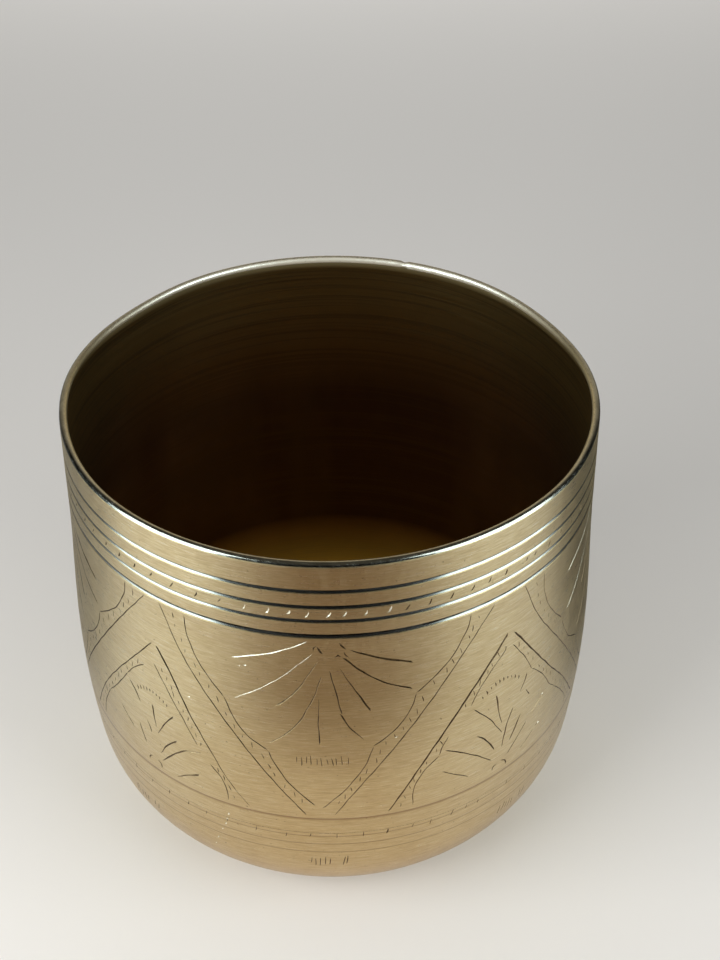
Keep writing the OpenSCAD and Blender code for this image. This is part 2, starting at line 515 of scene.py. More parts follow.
# Directions of the collar's and the base's nicks on the side that the photograph shows
COLLAR_TICKS = [
    -60, -56, -51, -46.5, -42, -37.5, -32.5, -27, -22, -17, -12.5, -8.5, -5, -1, 2, 6, 10.5, 14,
    18.5, 23, 27.5, 31.5, 35.5, 41, 43.5, 48,
]
BASE_TICKS = [-33, -28.5, -23.5, -17, -10.5, -5.5, 0, 5.5, 10.5, 16, 20, 25, 28.5, 31.5, 39.5]


def collar_cuts():
    """The twin scribed lines between the second and third groove, and the nicks over them."""
    rng = np.random.default_rng(11)
    found = [ring_line(s, 0.12, 0.16, soft=True) for s in (14.4, 16.2)]
    angles = list(COLLAR_TICKS)
    while angles[-1] < 360 + COLLAR_TICKS[0] - 6:
        angles.append(angles[-1] + rng.uniform(3.9, 5.4))
    for angle in angles:
        s = 15.2 + rng.uniform(-0.3, 0.3)
        size = rng.uniform(2.0, 2.9)
        # Nicks in the front arc are wider and carry a painted glint.
        clean = -20 < angle < 12
        width = rng.uniform(0.65, 0.9) if clean else rng.uniform(0.5, 0.75)
        found.append(tick(angle, s, size, rng.uniform(20, 38), width, rng, clean))
    return found


def foot_cuts():
    """The fine base lines, the nicks across the first, the scratches, and the clusters of
    nicks under the last line."""
    rng = np.random.default_rng(23)
    found = [ring_line(s, FINE_HALF, FINE_STEEPNESS, soft=True) for s in FINE_LINES]
    found.append(ring_line(109.2, 0.08, 0.15))
    angles = list(BASE_TICKS)
    while angles[-1] < 360 + BASE_TICKS[0] - 7:
        angles.append(angles[-1] + rng.uniform(4.6, 6.4))
    for angle in angles:
        size = rng.uniform(2.0, 3.4)
        width = 0.9 if angle == 10.5 else rng.uniform(0.28, 0.42)
        s = 110.8 + rng.uniform(-0.5, 0.5)
        found.append(tick(angle, s, size, rng.uniform(2, 20), width, rng))
    found += [tick(*scratch, rng, clean=True) for scratch in FOOT_SCRATCHES]
    for i in range(8):
        middle = 45 * i - 3 + rng.uniform(-1.5, 1.5)
        for j in range(7):
            angle = middle - 2.6 + j * 1.0 + rng.uniform(-0.2, 0.2) + (1.8 if j > 4 else 0)
            size = rng.uniform(3.6, 6.0)
            s = 125.6 + rng.uniform(-0.8, 0.8)
            found.append(tick(angle, s, size, rng.uniform(0, 18), rng.uniform(0.3, 0.45), rng))
    return found


# ---------------------------------------------------------------- mesh building
class MeshParts:
    """Vertices, faces and per-corner normals collected for one mesh."""

    def __init__(self):
        self.points, self.normals, self.brush, self.depth = [], [], [], []
        self.faces, self.flat, self.slots = [], [], []
        self.own_normals = {}
        self.count = 0

    def add(self, points, normals, theta, s, depth=None):
        """Adds vertices and gives back the index of the first."""
        first = self.count
        self.points.append(points)
        self.normals.append(normals)
        self.brush.append(brush_coordinates(theta, s))
        self.depth.append(np.zeros(len(points)) if depth is None else depth)
        self.count += len(points)
        return first

    def face(self, corners, slot, flat=False, normals=None):
        """Adds a face; `flat` gives it its own normal, `normals` one for each corner."""
        if normals is not None:
            self.own_normals[len(self.faces)] = normals
        self.faces.append(corners)
        self.slots.append(slot)
        self.flat.append(flat)


def brush_coordinates(theta, s):
    """Coordinates for brushed metal: 3D, so that they close up round the pot."""
    return np.stack([BRUSH_R * np.cos(theta), BRUSH_R * np.sin(theta), s], -1)


def grid_normals(points):
    """Normals of a grid of points (rows down the section, columns closed round the pot)."""
    around = np.roll(points, -1, 1) - np.roll(points, 1, 1)
    down = np.gradient(points, axis=0)
    n = np.cross(down, around)
    size = np.linalg.norm(n, axis=-1, keepdims=True)
    return n / np.maximum(size, 1e-12)


class Sheet:
    """A surface joined row by row: the vessel's skin, or the wire's."""

    def __init__(self):
        self.parts = MeshParts()
        self.last = None

    def rows(self, points, theta, s, slot):
        """Adds a grid of points and joins its first row to the row that came before."""
        normals = grid_normals(points)
        count = points.shape[1]
        for row in range(len(points)):
            first = self.parts.add(points[row], normals[row], theta[row], s[row])
            ring = np.arange(first, first + count)
            if self.last is not None:
                self.join(self.last, ring, slot)
            self.last = ring

    def join(self, upper, lower, slot, normals=None):
        """Joins two rows with four-sided faces."""
        for i in range(len(upper)):
            j = (i + 1) % len(upper)
            own = None
            if normals is not None:
                above, below = normals
                own = (above[i], below[i], below[j], above[j])
            self.parts.face((upper[i], lower[i], lower[j], upper[j]), slot, normals=own)

    def turned(self, s_values):
        """Adds rows of the outside wall, with a crisp edge wherever a turned line begins."""
        theta = column_angles()
        last_s = None
        for s in s_values:
            s_row = np.full(COLUMNS, float(s))
            first = self.parts.add(
                wall(theta, s_row), wall_normal(theta, s_row, lines=False), theta, s_row,
                turned_depth(s_row),
            )
            ring = np.arange(first, first + COLUMNS)
            if last_s is None:
                self.join(self.last, ring, OUTSIDE)
            else:
                inside = (s - last_s) * 0.15
                above = wall_normal(theta, s_row - (s - last_s) + inside)
                below = wall_normal(theta, s_row - inside)
                middle = turned_depth(np.array([(s + last_s) / 2]))[0]
                slot = TURNED if middle > BRIGHT_DEPTH else OUTSIDE
                self.join(self.last, ring, slot, (above, below))
            self.last = ring
            last_s = s

    def tip(self, z, way):
        """Adds a point on the axis whose normal goes `way` up."""
        return self.parts.add(
            np.array([(0, 0, z)]), np.array([(0, 0, way)]), np.zeros(1), np.array([AXIS_S])
        )

    def close(self):
        """Closes the last row on the axis, under the base."""
        tip = self.tip(0, -1)
        for i in range(COLUMNS):
            self.parts.face((self.last[i], tip, self.last[(i + 1) % COLUMNS]), OUTSIDE)

    def close_inside(self):
        """Closes the first row on the axis, on the bottom of the inside."""
        tip = self.tip(SHEET, 1)
        for i in range(COLUMNS):
            self.parts.face((tip, i, (i + 1) % COLUMNS), INSIDE)


def column_angles():
    """Directions of the wall's columns."""
    return np.arange(COLUMNS) * COLUMN_STEP


def wall_rows(s_values, inset=0.0, lines=True):
    """A grid of wall points with its angles and s values."""
    theta, s = np.meshgrid(column_angles(), np.array(s_values, float))
    return wall(theta, s, inset, lines), theta, s


def groove_rows(centre, width, _deep):
    """Where the rows across a turned groove are."""
    half = width / 2
    return [centre + half * x for x in (-1.1, -1, -0.85, -0.5, -0.1, 0.3, 0.65, 1, 1.1)]


def distance_to_cut(c, x, s):
    """For points (x mm round, s mm down): distance to the cut's line, the cut's half width
    there, and its width on the point's side of the line."""
    px, ps = c.theta * BELLY_R, c.s
    best = np.full(len(x), 1e9)
    half = np.zeros(len(x))
    wide = np.zeros(len(x))
    for i in range(len(px) - 1):
        dx, ds = px[i + 1] - px[i], ps[i + 1] - ps[i]
        ax, as_ = x - px[i], s - ps[i]
        t = np.clip((ax * dx + as_ * ds) / (dx * dx + ds * ds), 0, 1)
        d = np.hypot(ax - t * dx, as_ - t * ds)
        here = c.half[i] + t * (c.half[i + 1] - c.half[i])
        side = np.sign(ax * ds - as_ * dx)
        closer = d < best
        best = np.where(closer, d, best)
        half = np.where(closer, here, half)
        wide = np.where(closer, here * (1 + side * c.lean), wide)
    return best, half, wide


def cut_depths(cuts, x, s):
    """Depth of the deepest cut at each point, and how near the nearest cut's edge is."""
    depth = np.zeros(len(x))
    edge = np.full(len(x), 1e9)
    for c in cuts:
        cx = c.theta * BELLY_R
        reach = 1.6
        near = np.nonzero(
            (x > cx.min() - reach) & (x < cx.max() + reach)
            & (s > c.s.min() - reach) & (s < c.s.max() + reach)
        )[0]
        if not len(near):
            continue
        d, half, wide = distance_to_cut(c, x[near], s[near])
        full = np.minimum(2 * half * c.steepness, CUT_DEEPEST)
        inside = full * np.clip(1 - d / np.maximum(wide, 1e-6), 0, 1)
        depth[near] = np.maximum(depth[near], inside)
        edge[near] = np.minimum(edge[near], d - wide)
    return depth, edge


def cut_outline(c):
    """Points of the cut's two edges and its middle line, and the edges that join them."""
    x, s = c.theta * BELLY_R, c.s
    across = np.stack([np.gradient(s), -np.gradient(x)], -1)
    across /= np.linalg.norm(across, axis=1, keepdims=True)
    middle = np.stack([x, s], -1)
    wide = c.half > 0.02
    points, edges = [tuple(p) for p in middle], []
    edges += [(i, i + 1) for i in range(len(x) - 1)]
    for side in (1, -1):
        last = 0 if not wide[0] else None
        for i in range(len(x)):
            if wide[i]:
                reach = side * c.half[i] * (1 + side * c.lean)
                points.append(tuple(middle[i] + reach * across[i]))
                here = len(points) - 1
            elif last is None or i in (0, len(x) - 1):
                here = i
            else:
                continue
            if last is not None and last != here:
                edges.append((last, here))
            last = here
    return points, edges


class Zone:
    """A zone of the wall laid flat: x mm round and s mm down.

    It begins on a slanted line between two columns, `cut_from` at the top and `cut_to` at the
    foot, and runs from there once round the pot, so its two slanted ends fall on each other.
    """

    def __init__(self, s_top, s_foot, cut_from, cut_to, spacing):
        self.s_top, self.s_foot = s_top, s_foot
        self.cut_from, self.cut_to = cut_from, cut_to
        self.spacing = spacing

    def start_x(self, s):
        """Where the slanted line is at s."""
        lean = (self.cut_to - self.cut_from) * COLUMN_STEP * BELLY_R
        share = (s - self.s_top) / (self.s_foot - self.s_top)
        return self.cut_from * COLUMN_STEP * BELLY_R + lean * share

    def side_s(self, cuts):
        """Where the points on the slanted ends are: evenly spaced, and at the ring lines."""
        steps = max(2, int(round((self.s_foot - self.s_top) / self.spacing)))
        found = [self.s_top + (self.s_foot - self.s_top) * i / steps for i in range(1, steps)]
        for c in cuts:
            if c.is_ring():
                s, half = c.s[0], c.half[0]
                found = [v for v in found if abs(v - s) > half + 0.2] + [s - half, s, s + half]
        return sorted(found)

    def outline(self, cuts):
        """Points and edges of the top, the foot and the two ends, and how many points are on
        each end."""
        columns = COLUMNS + 1
        top = [((self.cut_from + i) * COLUMN_STEP * BELLY_R, self.s_top) for i in range(columns)]
        foot = [((self.cut_to + i) * COLUMN_STEP * BELLY_R, self.s_foot) for i in range(columns)]
        left = [(self.start_x(s), s) for s in self.side_s(cuts)]
        right = [(x + TURN, s) for x, s in left]
        edges = [(i, i + 1) for i in range(COLUMNS)]
        edges += [(columns + i, columns + i + 1) for i in range(COLUMNS)]
        left_first, right_first = 2 * columns, 2 * columns + len(left)
        for first, above, below in (left_first, 0, columns), (right_first, COLUMNS, columns + COLUMNS):
            chain = [above] + list(range(first, first + len(left))) + [below]
            edges += list(zip(chain, chain[1:]))
        return top + foot + left + right, edges, len(left)

    def place(self, cuts):
        """The cuts, moved by whole turns to where the zone is laid out."""
        placed = []
        for c in cuts:
            if c.is_ring():
                shift = self.cut_from * COLUMN_STEP
            else:
                laps = math.floor((c.theta.mean() * BELLY_R - self.start_x(c.s.mean())) / TURN)
                shift = -laps * 2 * math.pi
            theta = c.theta + shift
            placed.append(Cut(theta, c.s, c.half, c.steepness, c.lean, c.soft, c.clean))
        return placed

    def filler(self, placed):
        """Points scattered over the zone, clear of the cuts."""
        rng = random.Random(5)
        rows = int(round((self.s_foot - self.s_top) / self.spacing))
        per_row = int(round(TURN / self.spacing))
        found = []
        for i in range(1, rows):
            s = self.s_top + (self.s_foot - self.s_top) * i / rows
            for j in range(per_row):
                x = self.start_x(s) + TURN * (j + 0.5 + 0.5 * (i % 2)) / (per_row + 0.5)
                if x < self.start_x(s) + TURN - 0.4 * self.spacing:
                    found.append((x + rng.uniform(-0.1, 0.1), s + rng.uniform(-0.1, 0.1)))
        if not found:
            return []
        found = np.array(found)
        _, edge = cut_depths(placed, found[:, 0], found[:, 1])
        return [tuple(p) for p in found[edge > 0.35 * self.spacing]]


def triangulate(points, edges):
    """Triangles that keep the edges: x and s of the corners, the triangles, and the new number
    of each of the points."""
    snap = 5e-4
    flat = [Vector(p) for p in points]
    new_points, _, faces, origins, _, _ = delaunay_2d_cdt(flat, edges, [], 1, snap)
    x = np.array([p.x for p in new_points])
    s = np.array([p.y for p in new_points])
    new_number = {old: new for new, source in enumerate(origins) for old in source}
    return x, s, np.array([f for f in faces if len(f) == 3]), new_number


def cut_faces(placed, x, s):
    """For the middles of faces: which ones are in a cut, and the material slot of each."""
    def within(cuts):
        return cut_depths(cuts, x, s)[0] > SHALLOWEST_FACE

    # Faces of the cuts that darken with depth: dirt and painted shade.
    dirty_and_shaded = within([c for c in placed if not (c.soft or c.clean)])
    clean = within([c for c in placed if c.clean])
    return within(placed), np.where(clean, GLINT_PAINTED, np.where(dirty_and_shaded, CUTS, OUTSIDE))


def sheet_numbers(sheet, zone, side_count, home, surface):
    """Adds the zone's new points to the sheet. Gives the sheet's number of each point and the
    new last row: the zone's first row is the sheet's last one, and its right end its left."""
    xyz, normals, theta, s, depth = surface
    columns = COLUMNS + 1
    number = np.full(len(theta), -1)
    for i in range(columns):
        number[home[i]] = sheet.last[(zone.cut_from + i) % COLUMNS]
    fresh = [k for k in range(len(theta)) if number[k] < 0]
    first = sheet.parts.add(xyz[fresh], normals[fresh], theta[fresh], s[fresh], depth[fresh])
    number[fresh] = np.arange(first, first + len(fresh))
    number[home[columns + COLUMNS]] = number[home[columns]]
    for i in range(2 * columns, 2 * columns + side_count):
        number[home[side_count + i]] = number[home[i]]
    foot_ring = np.zeros(COLUMNS, int)
    for i in range(COLUMNS):
        foot_ring[(zone.cut_to + i) % COLUMNS] = number[home[columns + i]]
    return number, foot_ring


def engraved_zone(sheet, cuts, zone):
    """Joins a zone of the wall, triangulated round its cuts, to the sheet's last row."""
    points, edges, side_count = zone.outline(cuts)
    placed = zone.place(cuts)
    for c in placed:
        first = len(points)
        cut_points, cut_edges = cut_outline(c)
        points += cut_points
        edges += [(a + first, b + first) for a, b in cut_edges]
    points += zone.filler(placed)
    x, s, corners, home = triangulate(points, edges)

    theta = x / BELLY_R
    depth, _ = cut_depths(placed, x, s)
    depth = np.where(depth < SHALLOWEST_POINT, 0, depth)
    normals = wall_normal(theta, s, lines=False)
    xyz = wall(theta, s) - depth[:, None] * normals
    number, foot_ring = sheet_numbers(sheet, zone, side_count, home, (xyz, normals, theta, s, depth))
    in_cut, slots = cut_faces(placed, x[corners].mean(1), s[corners].mean(1))
    for (a, b, c), slot, flat in zip(corners, slots, in_cut):
        area = (x[b] - x[a]) * (s[c] - s[a]) - (x[c] - x[a]) * (s[b] - s[a])
        if abs(area) < 1e-7 or len({number[a], number[b], number[c]}) < 3:
            continue
        outward = (a, b, c) if area < 0 else (c, b, a)
        sheet.parts.face(tuple(number[k] for k in outward), int(slot), flat=bool(flat))
    sheet.last = foot_ring


def curl_rows():
    """The rolled edge: over the top, down the inside to its raw edge, and back in the bore."""
    theta = column_angles()
    lift = raw_edge_lift(theta)
    closed_end, opening = 283, 62
    outer_count, inner_count = 20, 14
    bevel = 0.12
    end = np.radians(closed_end - opening * lift)
    # Each row is an angle round the bead's centre and a distance from it
    rows = []
    for t in np.linspace(0.06, 1, outer_count):
        rows.append((end * t, BEAD_R + 0.28 * lift * smoothstep((t - 0.6) / 0.4)))
    rows.append((end + 0.1, BEAD_R - bevel + 0.2 * lift))
    rows.append((end + 0.1, BEAD_R - CURL_SHEET + bevel + 0.2 * lift))
    for t in np.linspace(1, 0, inner_count):
        phi = end * t + math.radians(-55) * (1 - t)
        rows.append((phi, BEAD_R - CURL_SHEET + 0.2 * lift * t))
    points, s_rows = [], []
    notch = seam_notch(theta)
    for k, (phi, radius) in enumerate(rows):
        top = np.clip(np.sin(phi), -0.2, 1) * (1 if k < outer_count else 0)
        radius = radius - notch * np.clip(top + 0.6, 0, 1)
        r = BEAD_RING_R + radius * np.cos(phi) + rim_push(theta, 0 * theta)
        z = BEAD_Z + radius * np.sin(phi) + rim_rise(theta, 0 * theta)
        points.append(np.stack([r * np.sin(theta), -r * np.cos(theta), z], -1))
        s_rows.append(-BEAD_R * phi)
    grid_theta = np.tile(theta, (len(rows), 1))
    return np.array(points), grid_theta, np.array([s + 0 * theta for s in s_rows])


# Direction of the place where the roll's two ends meet, and the nick there
SEAM = math.radians(161)
NOTCH_R, NOTCH_HALF, NOTCH_DEPTH = 84, 0.9, 0.5


def seam_notch(theta):
    """Depth of the nick across the bead where the roll's two ends meet."""
    away = (theta - SEAM + math.pi) % (2 * math.pi) - math.pi
    return NOTCH_DEPTH * np.exp(-((away * NOTCH_R / NOTCH_HALF) ** 2))


def raw_edge_lift(theta):
    """How far the curl's edge stands open, from 0 to 1: only on one side of the seam."""
    away = np.degrees(SEAM - theta)
    ragged = 0.12 * np.sin(theta * 61) + 0.08 * np.sin(theta * 143)
    lift = smoothstep(away / 1.2) * smoothstep((21 - away) / 9)
    return np.clip(lift * (0.8 + ragged), 0, 1)


# Slots of the vessel's materials
OUTSIDE, CUTS, GLINT_PAINTED, TURNED, BEAD, INSIDE = range(6)


def build_vessel():
    """One closed skin: from the bottom of the inside, over the rim and down to the base."""
    outer = Sheet()
    collar = sorted([0.4, 1, 1.7, 2.5, 3.4, 4.4, 5.5, 10.2, 11.2]
                    + groove_rows(*COLLAR_GROOVES[0]) + groove_rows(*COLLAR_GROOVES[1]))
    curl, curl_theta, curl_s = curl_rows()
    inner_s = [0.62, 1.2, 2, 3.2, 5, 8, 12, 17] + list(np.arange(22, 180, 5.0)) + [186, 196, 208, 220]
    lining, lining_theta, lining_s = wall_rows(inner_s, inset=SHEET, lines=False)

    # From the inside's centre up and over the rim, then down the outside
    outer.rows(lining[::-1], lining_theta[::-1], lining_s[::-1], INSIDE)
    outer.rows(curl[::-1], curl_theta[::-1], curl_s[::-1], BEAD)
    outer.turned(collar)
    tick_band = Zone(collar[-1], COLLAR_GROOVES[2][0] - 0.9, 160, 160, 1.6)
    engraved_zone(outer, collar_cuts(), tick_band)
    rows = sorted(groove_rows(*COLLAR_GROOVES[2]) + groove_rows(*COLLAR_GROOVES[3]) + [19.8, 21.6])
    outer.turned(rows)
    base_rows = groove_rows(*BASE_LINE)
    engraved_zone(outer, frieze_cuts(), Zone(rows[-1], base_rows[0] - 0.06, 160, 135, 2.1))
    outer.turned(base_rows)
    engraved_zone(outer, foot_cuts(), Zone(base_rows[-1], 131.0, 160, 160, 2.3))
    under = list(np.arange(134, AXIS_S - 46, 4.0)) + [AXIS_S - r for r in (45, 42)]
    for radius, width, _ in BASE_RINGS:
        under += [AXIS_S - radius + width / 2 * x for x in (-1.1, -1, -0.6, 0, 0.6, 1, 1.1)]
    under += [AXIS_S - r for r in (33, 28, 18, 13, 5, 2)]
    outer.turned(sorted(under))
    outer.close()
    outer.close_inside()
    return outer.parts


def build_wire():
    """The wire in the bead: a drawn ring with two cut ends, a little apart at the seam."""
    sheet = Sheet()
    gap = math.radians(1.4)
    length_count, round_count = 300, 14
    theta = np.linspace(SEAM + gap / 2, SEAM + 2 * math.pi - gap / 2, length_count)
    around = np.arange(round_count) * 2 * math.pi / round_count
    ring_r = BEAD_RING_R + rim_push(theta, 0 * theta)
    ring_z = BEAD_Z + rim_rise(theta, 0 * theta)
    for k, angle in enumerate(theta):
        size = WIRE_R * (0.8 if k in (0, len(theta) - 1) else 1)
        r = ring_r[k] + size * np.cos(around)
        z = ring_z[k] + size * np.sin(around)
        points = np.stack([r * math.sin(angle), -r * math.cos(angle), z], -1)
        out = np.stack(
            [np.cos(around) * math.sin(angle), -np.cos(around) * math.cos(angle), np.sin(around)], -1
        )
        first = sheet.parts.add(points, out, np.full(round_count, angle), around)
        ring = np.arange(first, first + round_count)
        if sheet.last is None:
            sheet.parts.face(tuple(ring), 0, flat=True)
        else:
            sheet.join(sheet.last, ring, 0)
        sheet.last = ring
    sheet.parts.face(tuple(sheet.last[::-1]), 0, flat=True)
    return sheet.parts


def mesh_object(name, parts, materials):
    """A Blender object from collected parts, with its own corner normals."""
    points = np.concatenate(parts.points) * MM
    normals = np.concatenate(parts.normals)
    mesh = bpy.data.meshes.new(name)
    mesh.from_pydata(points.tolist(), [], [list(map(int, f)) for f in parts.faces])
    mesh.polygons.foreach_set("material_index", parts.slots)
    mesh.polygons.foreach_set("use_smooth", np.ones(len(parts.faces), bool))
    brush = mesh.attributes.new("brush", "FLOAT_VECTOR", "POINT")
    brush.data.foreach_set("vector", np.concatenate(parts.brush).ravel())
    deep = mesh.attributes.new("cut_depth", "FLOAT", "POINT")
    deep.data.foreach_set("value", np.concatenate(parts.depth))
    mesh.update()
    loop_vertex = np.zeros(len(mesh.loops), int)
    mesh.loops.foreach_get("vertex_index", loop_vertex)
    starts = np.array([p.loop_start for p in mesh.polygons])
    sizes = np.array([p.loop_total for p in mesh.polygons])
    face_of = np.repeat(np.arange(len(starts)), sizes)
    face_normal = np.array([p.normal for p in mesh.polygons])
    flat = np.array(parts.flat)[face_of]
    corner = np.where(flat[:, None], face_normal[face_of], normals[loop_vertex])
    for face, own in parts.own_normals.items():
        corner[starts[face]:starts[face] + len(own)] = own
    mesh.normals_split_custom_set(corner.tolist())
    for material in materials:
        mesh.materials.append(material)
    piece = bpy.data.objects.new(name, mesh)
    bpy.context.scene.collection.objects.link(piece)
    return piece


# ---------------------------------------------------------------- materials
class Graph:
    """The nodes of a material or world, and short ways to add them."""

    def __init__(self, owner, shader="Principled BSDF"):
        owner.use_nodes = True
        self.owner = owner
        self.nodes = owner.node_tree.nodes
        self.links = owner.node_tree.links
        self.shader = self.nodes[shader]

    def add(self, kind, inputs=None, **settings):
        """A node with its settings; each input is a value or another node's output."""
        node = self.nodes.new("ShaderNode" + kind)
        for key, value in settings.items():
            setattr(node, key, value)
        for key, value in (inputs or {}).items():
            self.put(node.inputs[key], value)
        return node

    def put(self, socket, value):
        """Links a socket to another node's output, or sets its value."""
        if isinstance(value, bpy.types.NodeSocket):
            self.links.new(value, socket)
        elif isinstance(value, tuple) and socket.type == "RGBA":
            socket.default_value = (*value, 1)
        else:
            socket.default_value = value

    def set(self, **inputs):
        """Sets or links the shader's inputs."""
        for key, value in inputs.items():
            self.put(self.shader.inputs[key.replace("_", " ").title()], value)

    def stretched(self, x, y, z):
        """The brushing coordinates (mm round the pot, twice, and mm down the wall), scaled."""
        source = self.add("Attribute", attribute_name="brush").outputs["Vector"]
        scale = self.add("VectorMath", {0: source, 1: (x, y, z)}, operation="MULTIPLY")
        return scale.outputs["Vector"]

    def part(self, vector, axis):
        """One axis of a vector."""
        return self.add("SeparateXYZ", {0: vector}).outputs[axis]

    def down(self):
        """Distance down the wall from the bead's level, in mm."""
        return self.part(self.stretched(1, 1, 1), "Z")

    def depth(self):
        """Depth of the turned lines and cuts, in mm."""
        return self.add("Attribute", attribute_name="cut_depth").outputs["Fac"]

    def noise(self, vector, detail=3.0, roughness=0.5, distortion=0.0):
        """Cloudy noise of size 1 in the vector's own measure."""
        inputs = {
            "Vector": vector, "Scale": 1.0, "Detail": detail,
            "Roughness": roughness, "Distortion": distortion,
        }
        return self.add("TexNoise", inputs).outputs["Fac"]

    def ramp(self, value, low, high, to_low=0.0, to_high=1.0, kind="LINEAR"):
        """Maps low..high to to_low..to_high and stops there."""
        inputs = {0: value, 1: low, 2: high, 3: to_low, 4: to_high}
        return self.add("MapRange", inputs, interpolation_type=kind).outputs[0]

    def mix(self, share, a, b):
        """Tone a where share is 0, and b where it is 1."""
        node = self.add("Mix", data_type="RGBA")
        self.put(node.inputs[0], share)
        self.put(node.inputs[6], a)
        self.put(node.inputs[7], b)
        return node.outputs[2]

    def math(self, operation, a, b=0.0):
        """The sum, product or other operation on a and b."""
        return self.add("Math", {0: a, 1: b}, operation=operation).outputs[0]

    def bump(self, height, strength, distance, normal=None):
        """A normal that makes the height look raised, on top of an earlier one."""
        inputs = {"Height": height, "Strength": strength, "Distance": distance}
        if normal is not None:
            inputs["Normal"] = normal
        return self.add("Bump", inputs).outputs["Normal"]


def satin_brass():
    """Brushed brass: fibrous lines round the pot, cloudy handling marks and tarnish specks."""
    g = Graph(bpy.data.materials.new("satin brass"))
    fibre = g.noise(g.stretched(0.18, 0.18, 3.2), detail=5, roughness=0.7)
    hair = g.noise(g.stretched(0.35, 0.35, 9.0), detail=3, roughness=0.6)
    band = g.noise(g.stretched(0.02, 0.02, 0.8), detail=3)
    cloud = g.noise(g.stretched(0.03, 0.03, 0.03), detail=5, roughness=0.6)
    speck = g.noise(g.stretched(0.8, 0.8, 0.8), detail=2)
    wipe = g.noise(g.stretched(0.25, 0.25, 0.08), detail=4, distortion=1.5)
    deep_brass, light_brass = (0.66, 0.51, 0.245), (0.73, 0.585, 0.30)
    dull_fibre, bright_fibre, dull_band = (0.42, 0.29, 0.14), (0.92, 0.81, 0.56), (0.56, 0.40, 0.21)
    tarnish, depth_darkening = (0.20, 0.12, 0.05), (0.32, 0.19, 0.08)
    tone = g.mix(g.ramp(cloud, 0.35, 0.65), deep_brass, light_brass)
    tone = g.mix(g.ramp(fibre, 0.50, 0.74, 0, 0.6), tone, dull_fibre)
    tone = g.mix(g.ramp(fibre, 0.50, 0.28, 0, 0.6), tone, bright_fibre)
    tone = g.mix(g.ramp(band, 0.4, 0.7, 0, 0.25), tone, dull_band)
    tone = g.mix(g.ramp(speck, 0.70, 0.78, 0, 0.6), tone, tarnish)
    # Darker brown in the shallow lines and at the edges of the cuts, more so with depth.
    tone = g.mix(g.ramp(g.depth(), 0.01, 0.07, 0, 0.75), tone, depth_darkening)
    rough = g.ramp(fibre, 0.3, 0.7, 0.24, 0.39)
    rough = g.math("ADD", rough, g.ramp(wipe, 0.45, 0.7, 0.0, 0.06))
    normal = g.bump(fibre, 0.5, 0.00006)
    normal = g.bump(hair, 0.3, 0.00002, normal)
    normal = g.bump(wipe, 0.10, 0.0001, normal)
    tangent = g.add("Tangent", direction_type="RADIAL", axis="Z").outputs[0]
    g.set(base_color=tone, metallic=1.0, roughness=rough, normal=normal, tangent=tangent)
    g.set(anisotropic=0.5, coat_weight=0.25, coat_roughness=0.3)
    return g.owner


def cut_brass():
    """Graver cuts: dull brown, darker towards the bottom: dirt with painted shade."""
    g = Graph(bpy.data.materials.new("cut brass"))
    grain = g.noise(g.stretched(0.9, 0.9, 0.9), detail=3)
    # Dirt and painted shade: the cut darkens to brown with its depth.
    depth_darkening = g.math("MULTIPLY", g.ramp(g.depth(), 0.01, 0.10), g.ramp(grain, 0.35, 0.65, 0.6, 1.0))
    dull_brass, cut_dirt_and_shade = (0.38, 0.27, 0.14), (0.09, 0.055, 0.025)
    tone = g.mix(depth_darkening, dull_brass, cut_dirt_and_shade)
    g.set(base_color=tone, metallic=1.0, roughness=g.ramp(depth_darkening, 0, 1, 0.22, 0.5))
    return g.owner


def painted_glint_brass():
    """Chosen cuts and later scratches with a painted glint: bright, partly diffuse brass, a little torn
    by the graver.
    """
    g = Graph(bpy.data.materials.new("painted glint brass"))
    torn = g.noise(g.stretched(0.8, 0.8, 1.6), detail=3)
    painted_glint_tone, torn_brass = (0.92, 0.86, 0.68), (0.75, 0.66, 0.46)
    tone = g.mix(g.ramp(torn, 0.35, 0.65), painted_glint_tone, torn_brass)
    normal = g.bump(torn, 0.2, 0.0001)
    rough = g.ramp(torn, 0.3, 0.7, 0.3, 0.42)
    g.set(base_color=tone, metallic=0.75, roughness=rough, normal=normal)
    return g.owner


def turned_brass():
    """The lathe's lines: nearly mirror bright, with painted shade, near black, in the deepest part."""
    g = Graph(bpy.data.materials.new("turned brass"))
    grain = g.noise(g.stretched(0.3, 0.3, 0.9), detail=4)
    # Painted shade: the deepest part of each groove is drawn near black.
    depth_darkening = g.math("MULTIPLY", g.ramp(g.depth(), 0.29, 0.42), g.ramp(grain, 0.3, 0.6, 0.7, 1.0))
    pale_brass, painted_groove_shade = (0.50, 0.49, 0.41), (0.02, 0.015, 0.01)
    tone = g.mix(depth_darkening, pale_brass, painted_groove_shade)
    chatter = g.noise(g.stretched(0.5, 0.5, 6.0), detail=2)
    normal = g.bump(chatter, 0.10, 0.00002)
    g.set(base_color=tone, metallic=1.0, roughness=0.2, normal=normal)
    return g.owner


